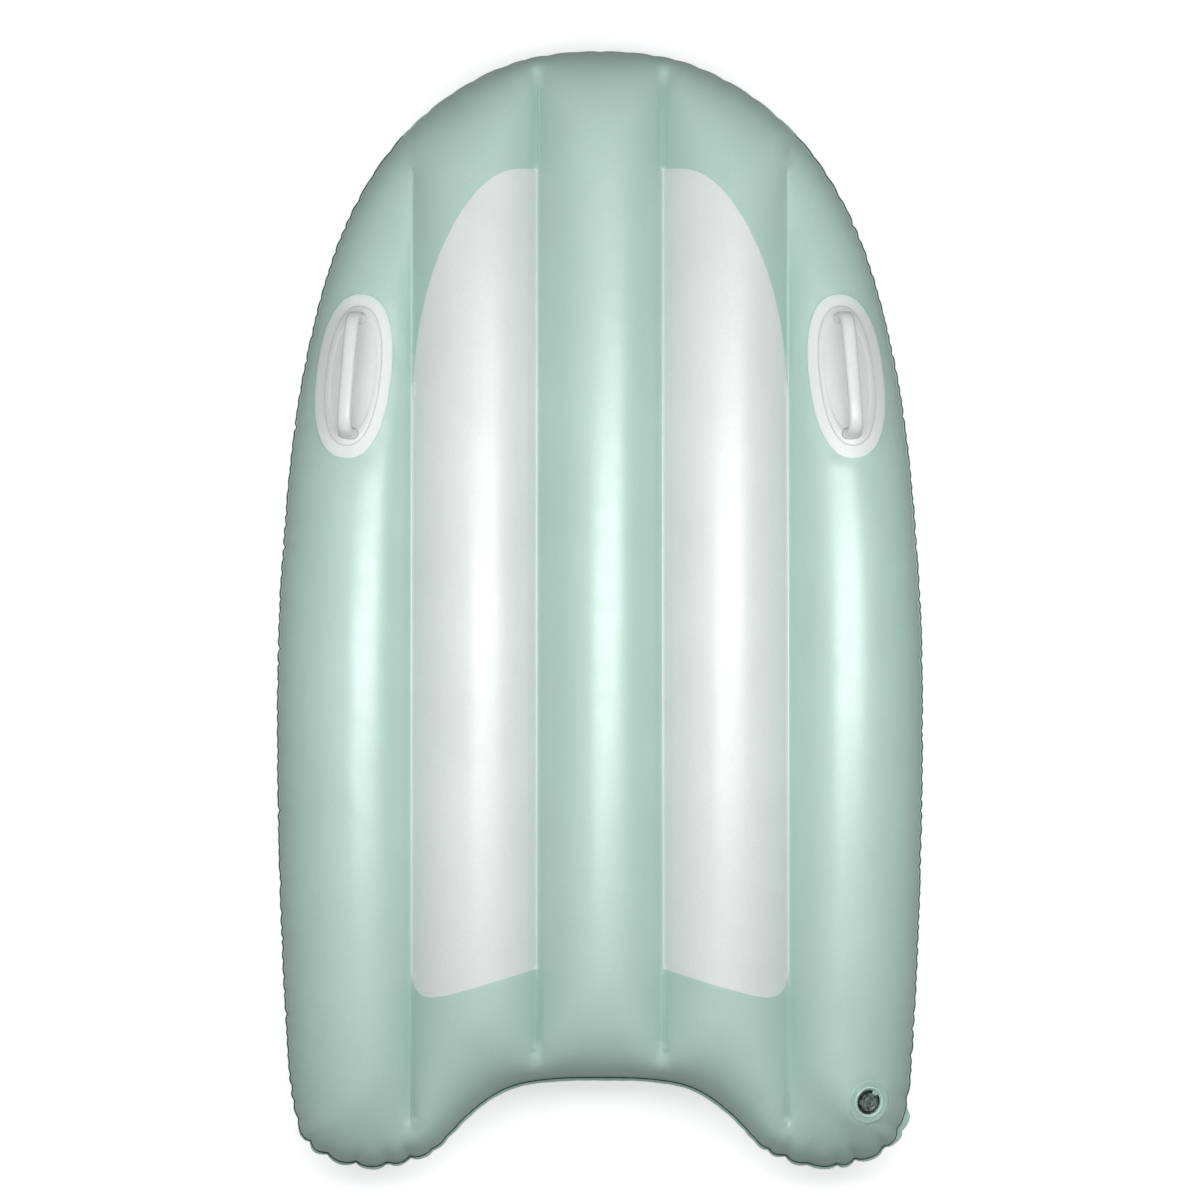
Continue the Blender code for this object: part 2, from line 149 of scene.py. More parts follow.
def closed_curve(points, per_span):
    """A centripetal Catmull-Rom curve through a closed ring of points."""
    points = np.array(points)
    curve = []
    for i in range(len(points)):
        p = [points[(i + k) % len(points)] for k in (-1, 0, 1, 2)]
        t = [0.0]
        for a, b in zip(p, p[1:]):
            t.append(t[-1] + math.sqrt(np.linalg.norm(b - a)))
        for s in np.linspace(t[1], t[2], per_span, endpoint=False):
            level = list(p)
            for reach in (1, 2):
                level = [
                    (level[k] * (t[k + reach] - s) + level[k + 1] * (s - t[k])) / (t[k + reach] - t[k])
                    for k in range(len(level) - 1)
                ]
            curve.append((level[0] * (t[2] - s) + level[1] * (s - t[1])) / (t[2] - t[1]))
    return np.array(curve)


def evenly(curve, count):
    """The closed curve as count points, equally far apart."""
    ring = np.vstack([curve, curve[:1]])
    run = np.concatenate([[0], np.cumsum(np.linalg.norm(np.diff(ring, axis=0), axis=1))])
    at = np.arange(count) / count * run[-1]
    return np.stack([np.interp(at, run, ring[:, k]) for k in (0, 1)], axis=1)


def resample(points, step):
    """An open, lightly rounded polyline as points about step apart."""
    points = np.array(points)
    for _ in range(3):
        cut = [points[:1]]
        for a, b in zip(points, points[1:]):
            cut.append(np.array([0.75 * a + 0.25 * b, 0.25 * a + 0.75 * b]))
        points = np.vstack([*cut, points[-1:]])
    run = np.concatenate([[0], np.cumsum(np.linalg.norm(np.diff(points, axis=0), axis=1))])
    at = np.linspace(0, run[-1], int(round(run[-1] / step)) + 1)
    return np.stack([np.interp(at, run, points[:, k]) for k in (0, 1)], axis=1)


def inward(ring):
    """Unit normals in plan that point into a ring that runs anticlockwise."""
    along = np.roll(ring, -1, axis=0) - np.roll(ring, 1, axis=0)
    along /= np.linalg.norm(along, axis=1)[:, None]
    return np.stack([-along[:, 1], along[:, 0]], axis=1)


OUTLINE = closed_curve([(-x, y) for x, y in HALF_OUTLINE] + HALF_OUTLINE[1:-1][::-1], 16)
SEAM = evenly(OUTLINE, SEAM_COUNT)
WEB_NODES = ["outer_web_left", "inner_web_left", "inner_web_right", "outer_web_right"]
WEB_LINES = [
    (-OUTER_WEB, *OUTER_WEB_ENDS),
    (-INNER_WEB, *INNER_WEB_ENDS),
    (INNER_WEB, *INNER_WEB_ENDS),
    (OUTER_WEB, *OUTER_WEB_ENDS),
]


def nearest_on_seam(points):
    """Index of the nearest seam point, and the distance to the seam line."""
    index = np.empty(len(points), int)
    distance = np.empty(len(points))
    following = np.roll(SEAM, -1, axis=0)
    before = np.roll(SEAM, 1, axis=0)
    for start in range(0, len(points), CHUNK):
        p = points[start : start + CHUNK]
        k = ((p[:, None] - SEAM[None]) ** 2).sum(-1).argmin(1)
        best = np.full(len(p), 1e9)
        for a, b in ((SEAM[k], following[k]), (before[k], SEAM[k])):
            v = b - a
            share = np.clip(((p - a) * v).sum(1) / (v * v).sum(1), 0, 1)
            best = np.minimum(best, np.linalg.norm(p - a - share[:, None] * v, axis=1))
        index[start : start + CHUNK] = k
        distance[start : start + CHUNK] = best
    return index, distance


def web_distances(points):
    """Distances to the four web lines in plan, nearest first."""
    found = []
    for x, tail, nose in WEB_LINES:
        beyond = points[:, 1] - np.clip(points[:, 1], tail, nose)
        found.append(np.hypot(points[:, 0] - x, beyond))
    return np.sort(np.stack(found), axis=0)


def on_weld_lines(points):
    """Which points lie on a web's flat weld, and the points with those moved to its middle."""
    middles = np.array([x for x, _, _ in WEB_LINES])
    nearest = middles[np.abs(points[:, :1] - middles).argmin(axis=1)]
    welded = web_distances(points)[0] < WELD_HALF
    return welded, np.column_stack([np.where(welded, nearest, points[:, 0]), points[:, 1]])


def eased_minimum(a, b):
    """The smaller of two values, rounded where they are near each other."""
    return a * b / (a**EASE + b**EASE) ** (1 / EASE)


def chamber_height(points):
    """How high the inflated skin stands over the mid-plane, as in the CAD."""
    edge = nearest_on_seam(points)[1]
    near, next_near = web_distances(points)[:2]
    end_cap = 2 * RADIUS * edge + 1e-12
    inner = eased_minimum(WEB_HALF**2 + near * next_near, end_cap)
    at_web = eased_minimum(WEB_HALF**2, end_cap)
    outer = edge * near + at_web * edge / (edge + near + 1e-12)
    share = np.clip((np.abs(points[:, 0]) - OUTER_WEB) / (2 * near + 1e-9) + 0.5, 0, 1)
    return np.sqrt(inner * (1 - share) + outer * share)


def surface_normals(points, height):
    """Upward unit normals of a height function, by central differences."""
    step = 0.002
    slopes = [
        (height(points + shift) - height(points - shift)) / (2 * step)
        for shift in np.array([(step, 0), (0, step)])
    ]
    normals = np.stack([-slopes[0], -slopes[1], np.ones(len(points))], axis=1)
    return normals / np.linalg.norm(normals, axis=1)[:, None]


def valve_frame():
    """The valve's place and turn: z along the skin's normal, x level with the floor."""
    at = np.array([VALVE_CENTRE])
    axis = Vector(surface_normals(at, chamber_height)[0])
    point = Vector((*VALVE_CENTRE, MID_Z + SEAM_LIFT + chamber_height(at)[0])) - axis * VALVE_SINK
    across = Vector((0, 1, 0)).cross(axis).normalized()
    turn = Matrix((across, axis.cross(across), axis)).transposed().to_4x4()
    return Matrix.Translation(point) @ turn


VALVE = valve_frame()


def from_valve_axis(points):
    """Distance from the valve's axis, measured in the plane of its seat, and that plane's height."""
    origin = VALVE.translation
    axis = VALVE.to_3x3().col[2]
    over_x = points[:, 0] - origin.x
    over_y = points[:, 1] - origin.y
    climb = -(over_x * axis.x + over_y * axis.y) / axis.z
    return np.sqrt(over_x**2 + over_y**2 + climb**2), origin.z - MID_Z - SEAM_LIFT + climb


def top_height(points):
    """The top skin over the mid-plane, with a flat seat for the valve."""
    radius, seat = from_valve_axis(points)
    outside = np.clip((radius - VALVE_SEAT) / VALVE_SEAT_FADE, 0, 1)
    share = 1 - outside**2 * (3 - 2 * outside)
    return chamber_height(points) * (1 - share) + seat * share


def on_top_skin(points, lift):
    """3-D points that stand lift off the top skin, along its normal."""
    z = MID_Z + SEAM_LIFT + top_height(points)
    return np.column_stack([points, z]) + surface_normals(points, top_height) * np.reshape(lift, (-1, 1))


# ---------------------------------------------------------------- the skins


def inside_polygon(points, polygon):
    """Which points lie inside a polygon in plan."""
    x, y = points[:, 0], points[:, 1]
    inside = np.zeros(len(points), bool)
    for (x0, y0), (x1, y1) in zip(polygon, np.roll(polygon, -1, axis=0)):
        crossing = (y0 > y) != (y1 > y)
        inside ^= crossing & (x < (x1 - x0) * (y - y0) / (y1 - y0 + 1e-30) + x0)
    return inside


def far_from(points, others, distance):
    """The points that lie further than a distance from all the others."""
    keep = np.ones(len(points), bool)
    for start in range(0, len(points), CHUNK):
        gap = ((points[start : start + CHUNK, None] - others[None]) ** 2).sum(-1).min(1)
        keep[start : start + CHUNK] = gap > distance**2
    return points[keep]


def web_line(x, tail, nose):
    """Mesh points on a web line: even rows, its ends, and where the panel's outline meets it."""
    ys = [k * ROW for k in range(-80, 81) if tail + 0.003 < k * ROW < nose - 0.003]
    for end in (PANEL_NOSE[0], PANEL_NOSE[-1], PANEL_TAIL[0], PANEL_TAIL[-1]):
        if abs(end[0] - abs(x)) < 1e-6:
            ys = [y for y in ys if abs(y - end[1]) > 0.0030] + [end[1]]
    return np.array([(x, y) for y in sorted([tail, nose, *ys])])


def valve_ring(radius, count):
    """A ring in the valve's plane, seen in plan."""
    steps = np.arange(count) / count * 2 * math.pi
    circle = [VALVE @ Vector((radius * math.cos(a), radius * math.sin(a), 0)) for a in steps]
    return np.array([point[:2] for point in circle])


def panel_curves():
    """The panels' nose curves and tail lines, each from one web line to the next."""
    curves = []
    for side in (-1, 1):
        for curve in (PANEL_NOSE, PANEL_TAIL):
            curves.append(resample(curve, CURVE_STEP) * (side, 1))
    return curves


def lattice_points():
    """Mesh points inside the edge rows, in columns that follow the webs."""
    columns = set()
    for x, _, _ in WEB_LINES:
        columns |= {round(x + s * o, 5) for o in WEB_COLUMNS for s in (-1, 1)}
    for chamber in range(-2, 3):
        columns |= {round(chamber * PITCH + k * COLUMN, 5) for k in range(-6, 7)}
    for k in range(7, 10):
        columns |= {round(s * (2 * PITCH + k * COLUMN), 5) for s in (-1, 1)}
    points = np.array([(x, k * ROW) for x in sorted(columns) for k in range(-74, 75)])
    points = points[inside_polygon(points, SEAM)]
    return points[nearest_on_seam(points)[1] > LATTICE_DEPTH]


def skin_plan():
    """A skin in plan: edge rings, then the area inside them. Points, faces, and faces of the hole."""
    rings = [SEAM + inward(SEAM) * depth for depth in RING_DEPTHS]
    rows = []
    for depth, count in EDGE_ROWS:
        ring = evenly(OUTLINE, count)
        rows.append(ring + inward(ring) * depth)
    rows = np.vstack(rows)
    rows = rows[nearest_on_seam(rows)[1] > ROW_DEPTH]

    fixed = [rings[-1]]
    edges = [(k, (k + 1) % SEAM_COUNT) for k in range(SEAM_COUNT)]
    filled = SEAM_COUNT

    def join(line, first, closed=False):
        links = [(first + k, first + k + 1) for k in range(len(line) - 1)]
        return links + ([(first + len(line) - 1, first)] if closed else [])

    ends = {}
    for x, tail, nose in WEB_LINES:
        line = web_line(x, tail, nose)
        for k, (_, y) in enumerate(line):
            ends[(round(x, 4), round(y, 4))] = filled + k
        edges += join(line, filled)
        fixed.append(line)
        filled += len(line)
    for curve in panel_curves():
        inner = curve[1:-1]
        edges.append((ends[tuple(np.round(curve[0], 4))], filled))
        edges.append((ends[tuple(np.round(curve[-1], 4))], filled + len(inner) - 1))
        edges += join(inner, filled)
        fixed.append(inner)
        filled += len(inner)
    hole_first = filled
    for radius, count in ((HOLE_RADIUS, HOLE_POINTS), (VALVE_SEAT, HOLE_POINTS)):
        circle = valve_ring(radius, count)
        edges += join(circle, filled, closed=True)
        fixed.append(circle)
        filled += len(circle)
    fixed = np.vstack(fixed)
    seat = np.vstack([valve_ring(*ring) for ring in (*SEAT_RINGS, HOLE_RING)])
    rows = far_from(far_from(rows, fixed, ROW_GAP), seat, LOOSE_GAP)
    lattice = far_from(far_from(lattice_points(), fixed, LATTICE_GAP), seat, LOOSE_GAP)
    rows = far_from(rows, lattice, LOOSE_GAP)
    plan = np.vstack([fixed, seat, lattice, rows])
    _, _, triangles, sources, _, _ = delaunay_2d_cdt([Vector(p) for p in plan], edges, [], 1, 1e-7)

    first = (len(rings) - 1) * SEAM_COUNT
    faces = []
    for level in range(len(rings) - 1):
        for k in range(SEAM_COUNT):
            outer, inner = level * SEAM_COUNT, (level + 1) * SEAM_COUNT
            following = (k + 1) % SEAM_COUNT
            a, b, c, d = outer + k, outer + following, inner + following, inner + k
            faces += [(a, b, c), (a, c, d)] if k % 2 else [(a, b, d), (b, c, d)]
    faces += [tuple(first + sources[k][0] for k in triangle) for triangle in triangles]
    points = np.vstack(rings[:-1] + [plan])
    faces = np.array(faces)
    hole = (faces >= first + hole_first) & (faces < first + hole_first + HOLE_POINTS)
    ring_start = first + len(fixed) + sum(count for _, count in SEAT_RINGS)
    hole |= (faces >= ring_start) & (faces < ring_start + HOLE_RING[1])
    return points, faces, hole.all(axis=1)


def smooth_round(values, sigma):
    """Values along the seam, smoothed over a length of sigma."""
    length = np.linalg.norm(np.roll(SEAM, -1, axis=0) - SEAM, axis=1).sum()
    turns = np.arange(len(values) // 2 + 1)
    kept = np.exp(-0.5 * (2 * math.pi * turns * sigma / length) ** 2)
    return np.fft.irfft(np.fft.rfft(values) * kept, len(values))


# Where the seam is gathered: a box in plan on the right side, and how far it fades
CORNER_ZONE = ((0.168, -0.56), (0.400, -0.470), 0.035)
NOTCH_ZONE = ((0.0, -0.475), (0.125, -0.40), 0.045)
NOSE_ZONE = ((0.0, 0.43), (0.20, 0.56), 0.08)
GATHER_SPACING, CORNER_SPACING, NOSE_SPACING = 0.0115, 0.0125, 0.014
GATHER_DEPTH, CORNER_DEPTH, NOSE_DEPTH = 0.0020, 0.0023, 0.0008
LAST_GATHER = 0.006  # no gather begins within this distance of the first
FULL_DENT = 0.004  # a dent that lowers the film beside it by a quarter and halves the strip


def region(points, low, high, fade):
    """1 inside a box in plan, fading to 0 over a distance outside it. x is taken from the middle."""
    place = np.column_stack([np.abs(points[:, 0]), points[:, 1]])
    outside = np.maximum(np.maximum(np.array(low) - place, place - np.array(high)), 0)
    return np.clip(1 - np.linalg.norm(outside, axis=1) / fade, 0, 1)


def gathers():
    """Where the welded edge is gathered: each seam point's dent, and how far in it reaches.

    The gathers are wide and deep round the tail corners, close and shallower along the
    sides, wide and shallow at the nose, and none are left in the notch.
    """
    chance = np.random.default_rng(11)
    steps = np.linalg.norm(np.roll(SEAM, -1, axis=0) - SEAM, axis=1)
    run = np.concatenate([[0], np.cumsum(steps)[:-1]])
    total = steps.sum()
    corner, notch, nose = (region(SEAM, *zone) for zone in (CORNER_ZONE, NOTCH_ZONE, NOSE_ZONE))
    spacing = GATHER_SPACING + CORNER_SPACING * corner + NOSE_SPACING * nose
    depth = (GATHER_DEPTH + CORNER_DEPTH * corner - NOSE_DEPTH * nose) * (1 - notch)
    dent = np.zeros(SEAM_COUNT)
    at = 0.0
    while at < total - LAST_GATHER:
        k = int(np.searchsorted(run, at)) % SEAM_COUNT
        size = spacing[k] * chance.uniform(0.75, 1.3)
        away = np.abs(run - at)
        away = np.minimum(away, total - away)
        dent = np.maximum(dent, depth[k] * chance.uniform(0.5, 1.25) * np.exp(-away / (0.20 * size)))
        at += size
    return dent, 0.4 * spacing + 0.002


def colour_edges(edges, count):
    """Groups of edges in which no two share a point."""
    used = [0] * count
    colours = np.empty(len(edges), int)
    for k, (a, b) in enumerate(edges.tolist()):
        taken = used[a] | used[b]
        colours[k] = (~taken & (taken + 1)).bit_length() - 1
        used[a] |= 1 << int(colours[k])
        used[b] |= 1 << int(colours[k])
    return colours


# The film simulation: how many steps, and what each step does
STEPS = 320
PUSH = 1.0e-5  # how far the air moves a free point
STIFFNESS = 0.02  # resistance to bending
DRAG = 0.98  # the speed that is kept
SEAM_HOLD = 0.20  # how strongly the weld is brought back to its gathered line
RUFFLE = 0.00015  # the uneven start that lets folds form
FLOOR_CLEARANCE = 0.0004


def inflate(start, triangles, pinned, underside):
    """Blows up a film of fixed lengths, with the pinned points held.

    Each step pushes every point out along the film's normal, resists bending, and then
    brings each edge back to its own length.
    """
    count = len(start)
    edges = np.vstack([triangles[:, [0, 1]], triangles[:, [1, 2]], triangles[:, [2, 0]]])
    edges = np.unique(np.sort(edges, axis=1), axis=0)
    colours = colour_edges(edges, count)
    ends_a, ends_b = edges.T
    corner = triangles.ravel()
    degree = np.bincount(edges.ravel(), minlength=count)

    def gather(index, values):
        return np.stack([np.bincount(index, values[:, k], count) for k in range(3)], axis=1)

    def area_vectors(x):
        a, b, c = (x[triangles[:, k]] for k in range(3))
        return gather(corner, np.repeat(np.cross(b - a, c - a) / 6, 3, axis=0))

    area = np.linalg.norm(area_vectors(start), axis=1)
    weight = 1 / np.clip(area, 1e-6, None)
    weight /= weight.mean()
    weight[pinned] = 0
    rest = np.linalg.norm(start[ends_a] - start[ends_b], axis=1)
    groups = []
    for colour in range(colours.max() + 1):
        chosen = (colours == colour) & (weight[ends_a] + weight[ends_b] > 0)
        a, b = ends_a[chosen], ends_b[chosen]
        both = weight[a] + weight[b]
        groups.append((a, b, rest[chosen], (weight[a] / both)[:, None], (weight[b] / both)[:, None]))

    free = (~pinned)[:, None]
    ruffle = np.random.default_rng(7).normal(0, RUFFLE, start.shape)
    x = start + ruffle * free
    speed = np.zeros_like(x)
    for _ in range(STEPS):
        pull = area_vectors(x)
        normal = pull / np.maximum(np.linalg.norm(pull, axis=1), 1e-12)[:, None]
        mean = (gather(ends_a, x[ends_b]) + gather(ends_b, x[ends_a])) / degree[:, None]
        bent = normal * ((mean - x) * normal).sum(1)[:, None]
        shared = bent / degree[:, None]
        back = gather(ends_a, shared[ends_b]) + gather(ends_b, shared[ends_a])
        push = PUSH * pull / np.maximum(area, 1e-9)[:, None]
        new = x + speed * DRAG + (push + STIFFNESS * (bent - back)) * free
        new[:SEAM_COUNT] += SEAM_HOLD * (start[:SEAM_COUNT] - new[:SEAM_COUNT])
        for a, b, length, share_a, share_b in groups:
            across = new[b] - new[a]
            now = np.sqrt((across * across).sum(1))
            fix = ((now - length) / now)[:, None] * across
            new[a] += share_a * fix
            new[b] -= share_b * fix
        new[underside, 2] = np.maximum(new[underside, 2], FLOOR_CLEARANCE)
        speed = new - x
        x = new
    return x


def oval_share(points, side, size):
    """0 at a handle's centre, 1 on the edge of an oval of this size round it."""
    lean = side * HANDLE_TILT
    over_x = points[:, 0] - side * HANDLE_CENTRE[0]
    over_y = points[:, 1] - HANDLE_CENTRE[1]
    across = over_x * math.cos(lean) + over_y * math.sin(lean)
    along = over_y * math.cos(lean) - over_x * math.sin(lean)
    shares = np.abs([across / (size[0] / 2), along / (size[1] / 2)])
    return (shares**OVAL_FULLNESS).sum(axis=0) ** (1 / OVAL_FULLNESS)


def material_slots(obj, *materials):
    """Adds the materials as slots, in this order."""
    for material in materials:
        obj.data.materials.append(material)


def new_object(name, mesh):
    """A new object in the scene, from a mesh, a light or a camera."""
    obj = bpy.data.objects.new(name, mesh)
    bpy.context.collection.objects.link(obj)
    return obj


def build_skins(mint, panel, weld):
    """Builds both skins, and returns the seam's ring as it is once they are blown up."""
    points, faces, hole = skin_plan()
    count = len(points)
    nearest, depth = nearest_on_seam(points)
    depth[:SEAM_COUNT] = 0
    welded, middled = on_weld_lines(points)
    over = top_height(middled)
    under = np.minimum(chamber_height(middled), RADIUS - FLOOR_TRIM)
    over[:SEAM_COUNT] = under[:SEAM_COUNT] = -SEAM_LIFT
    dent, reach = gathers()
    pull = dent[nearest] * np.exp(-depth / reach[nearest])
    gathered = points + inward(SEAM)[nearest] * pull[:, None]
    squeeze = 1 - 0.25 * pull / FULL_DENT
    top = np.column_stack([gathered, MID_Z + SEAM_LIFT + over * squeeze])
    bottom = np.column_stack([gathered, MID_Z - SEAM_LIFT - under * squeeze])
    below = np.concatenate([np.arange(SEAM_COUNT), np.arange(count, 2 * count - SEAM_COUNT)])
    start = np.vstack([top, bottom[SEAM_COUNT:]])
    triangles = np.vstack([faces, below[faces[:, ::-1]]])
    top_pinned = welded | (from_valve_axis(points)[0] < VALVE_SEAT + 0.0002)
    for side in (-1, 1):
        top_pinned |= oval_share(points, side, HELD_OVAL) < 1
    pinned = np.concatenate([top_pinned, welded[SEAM_COUNT:]])
    underside = np.arange(len(start)) >= count
    shape = inflate(start, triangles, pinned, underside)

    curves = panel_curves()
    centres = points[faces].mean(axis=1)
    printed = np.zeros(len(faces), bool)
    for nose, tail in (curves[:2], curves[2:]):
        printed |= inside_polygon(centres, np.vstack([nose, tail]))
    bare = (centres[:, 1] > PRINT_NOSE) | (centres[:, 1] < PRINT_TAIL)
    # Slot 2 paints the bare web welds darker than the film: painted shade along the floors of the valleys.
    looks = np.where(printed, 1, np.where(welded[faces].all(axis=1) & bare, 2, 0))

    for name, node, kept, slots, index in (
        ("skin_top", "top_skin", faces[~hole], looks[~hole], np.arange(count)),
        ("skin_bottom", "bottom_skin", faces[:, ::-1], np.zeros(len(faces)), below),
    ):
        mesh = bpy.data.meshes.new(name)
        mesh.from_pydata(shape[index].tolist(), [], kept.tolist())
        skin = new_object(name, mesh)
        material_slots(skin, mint, panel, weld)
        mesh.polygons.foreach_set("material_index", slots.astype(np.int32))
        mesh.shade_smooth()
        bm = bmesh.new()
        bm.from_mesh(mesh)
        bmesh.ops.delete(bm, geom=[v for v in bm.verts if not v.link_faces], context="VERTS")
        bm.to_mesh(mesh)
        bm.free()
        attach(skin, "board")
        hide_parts(node)
    return shape[:SEAM_COUNT]


# ---------------------------------------------------------------- the weld margin

# The strip's section, from the weld outwards: how far out, half its thickness
BEAD_ROWS = [(-0.0007, 0.00020), (-0.0003, 0.00042), (0.0003, 0.00042), (0.0006, 0.00012)]
CREASE_ROWS = [(0.0011, 0.00010), (0.0016, 0.00010)]
STRIP_ROWS = [(0.0018, 0.00035), (0.0028, 0.00038), (0.0037, 0.00038), (0.0040, 0.00018)]
MARGIN_CALM = 0.007  # the length over which the seam's direction is smoothed
MARGIN_TONGUE = 1.5  # how much wider the strip is at the right tail corner

# Zones of the margin: low, high, fade, axis
NOSE_FOLD = (0.460, 1.0, 0.030, 1)
TIP_STRIP = (-1.0, -0.500, 0.02, 1)
TAIL_STRIP = (-1.0, -0.40, 0.03, 1)
TONGUE_ZONES = ((0.272, 1.0, 0.010, 0), (-0.486, -0.470, 0.010, 1))
NOTCH_HALF, NOTCH_FADE = 0.205, 0.04

# How far the margin turns down from level, in degrees: at the weld, with more at the nose,
# and the strip where it is folded, with how far it opens out where it isn't
WELD_DROOP, NOSE_DROOP = 4, 28
STRIP_DROOP, STRIP_RISE = 84, 72
TONGUE_DROOP = 0.12  # the share of that opening which is missing at the right tail corner
LONG_RIPPLE = (9, [0.031, 0.047, 0.083], 3)  # degrees, wavelengths, seed
SHORT_RIPPLE = (7, [0.0105, 0.0125], 5)
WIDTH_WAVE = (0.10, [0.017, 0.05], 8)


def around(ring, low, high, fade, axis):
    """1 where a ring's coordinate lies between low and high, fading to 0 outside."""
    value = ring[:, axis]
    return np.clip((value - low) / fade + 1, 0, 1) * np.clip((high - value) / fade + 1, 0, 1)


def wavy(run, height, wavelengths, seed):
    """A smooth wave of mixed lengths along the seam, between about -height and height."""
    chance = np.random.default_rng(seed)
    total = run[-1]
    wave = np.zeros(len(run))
    for wavelength in wavelengths:
        turns = max(1, round(total / wavelength))
        wave += np.sin(2 * math.pi * turns * run / total + chance.uniform(0, 2 * math.pi))
    return height * (wave / len(wavelengths))


def build_margin(seam, film, crease_painted_shade_film):
    """The strip outside the weld line: both films, pressed together.

    It runs from the weld's bead over a thin crease to the free strip, which is folded down
    along the sides and at the nose, and stands out in the notch and round the tail corners.
    """
    count = len(seam)
    run = np.concatenate([[0], np.cumsum(np.linalg.norm(np.diff(seam, axis=0), axis=1))])
    calm = np.column_stack([smooth_round(seam[:, k], MARGIN_CALM) for k in range(3)])
    outward = -inward(calm[:, :2])
    dent = gathers()[0]
    nose = around(SEAM, *NOSE_FOLD)
    notch = np.clip((NOTCH_HALF - np.abs(SEAM[:, 0])) / NOTCH_FADE, 0, 1)
    tail = np.maximum(around(SEAM, *TIP_STRIP), notch)
    tail *= around(SEAM, *TAIL_STRIP)
    tongue = around(SEAM, *TONGUE_ZONES[0]) * around(SEAM, *TONGUE_ZONES[1])
    tongue = tongue**2 * (3 - 2 * tongue)
    open_out = np.maximum(tail, tongue)
    at_weld = np.radians(WELD_DROOP + NOSE_DROOP * nose)
    ripple = wavy(run, *LONG_RIPPLE) + wavy(run, *SHORT_RIPPLE)
    free = np.radians(STRIP_DROOP - (STRIP_RISE - ripple) * open_out * (1 - TONGUE_DROOP * tongue))
    gathered = 1 - 0.5 * np.clip(dent / FULL_DENT, 0, 1)
    width = (1 + wavy(run, *WIDTH_WAVE)) * gathered + MARGIN_TONGUE * tongue

    rows = BEAD_ROWS + CREASE_ROWS + STRIP_ROWS
    fold = CREASE_ROWS[-1][0]
    section = [(out, half, 1) for out, half in rows] + [(out, half, -1) for out, half in rows[::-1]]
    loops = []
    for out, half, side in section:
        droop = free if out > fold else at_weld
        flat = np.column_stack([outward * np.cos(at_weld)[:, None], -np.sin(at_weld)])
        down = np.column_stack([outward * np.cos(free)[:, None], -np.sin(free)])
        face = np.column_stack([outward * np.sin(droop)[:, None], np.cos(droop)])
        beyond = max(out - fold, 0)
        loops.append(seam + flat * min(out, fold) + down * (width * beyond)[:, None] + face * (half * side))
    faces = []
    slots = []
    first_crease = len(BEAD_ROWS) - 1
    last_crease = first_crease + len(CREASE_ROWS)
    for level in range(len(section)):
        following = (level + 1) % len(section)
        row = min(level, len(section) - 2 - level) if level < len(section) - 1 else -1
        # The crease rows, except at the nose, take the near-black film: painted shade in the fold between
        # the bead and the strip.
        painted_shade_row = first_crease <= row < last_crease
        for k in range(count):
            n = (k + 1) % count
            here, there = level * count, following * count
            faces.append((here + k, there + k, there + n, here + n))
            slots.append(int(painted_shade_row and nose[k] < 0.5))
    mesh = bpy.data.meshes.new("weld_margin")
    mesh.from_pydata(np.vstack(loops).tolist(), [], faces)
    mesh.polygons.foreach_set("material_index", np.array(slots, np.int32))
    mesh.shade_smooth()
    margin = new_object("weld_margin", mesh)
    material_slots(margin, film, crease_painted_shade_film)
    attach(margin, "board")


# ---------------------------------------------------------------- the handles

PATCH_SIZE = (0.0690, 0.1545)
PATCH_LIFT = 0.0011
PATCH_RIM = 0.955  # beyond this share of the oval the patch is bare film
BASE_SIZE = (0.0495, 0.1320)
BASE_TOP = PATCH_LIFT + 0.0020

# Profiles of the ovals, from the middle out: share of the size, lift
PATCH_EDGE = [
    (0.970, PATCH_LIFT),
    (0.985, PATCH_LIFT),
    (0.996, PATCH_LIFT - 0.0001),
    (1.0, PATCH_LIFT - 0.0004),
    (1.0, -0.0002),
]
BASE_RIM = [
    (0.790, BASE_TOP - 0.00045),
    (0.805, BASE_TOP - 0.00015),
    (0.820, BASE_TOP),
    (0.870, BASE_TOP),
    (0.920, BASE_TOP),
    (0.955, BASE_TOP - 0.0001),
    (0.978, BASE_TOP - 0.0005),
    (0.992, BASE_TOP - 0.0011),
    (1.0, BASE_TOP - 0.0020),
]

GRIP_LENGTH = 0.108
GRIP_TURN = math.radians(1.8)
GRIP_RISE = 0.0255
GRIP_SECTION = (0.0125, 0.0080)
GRIP_CORNERS = 5.0  # how square the arch's corners are
GRIP_FOOT = 0.0020
GRIP_POINTS = 400  # points on the arch, before they are made even
GRIP_STATIONS = 72
FOOT_SHARE = 0.93  # beyond this share of its half length the strap flares into a foot
FOOT_FLARE = 0.45
LEG_FLARE = 0.12


def handle_plan(side, along, across):
    """Plan points from places along and across a handle, whose nose end leans inwards."""
    lean = side * HANDLE_TILT
    x = side * HANDLE_CENTRE[0] + across * math.cos(lean) - along * math.sin(lean)
    y = HANDLE_CENTRE[1] + across * math.sin(lean) + along * math.cos(lean)
    return np.column_stack([x, y])


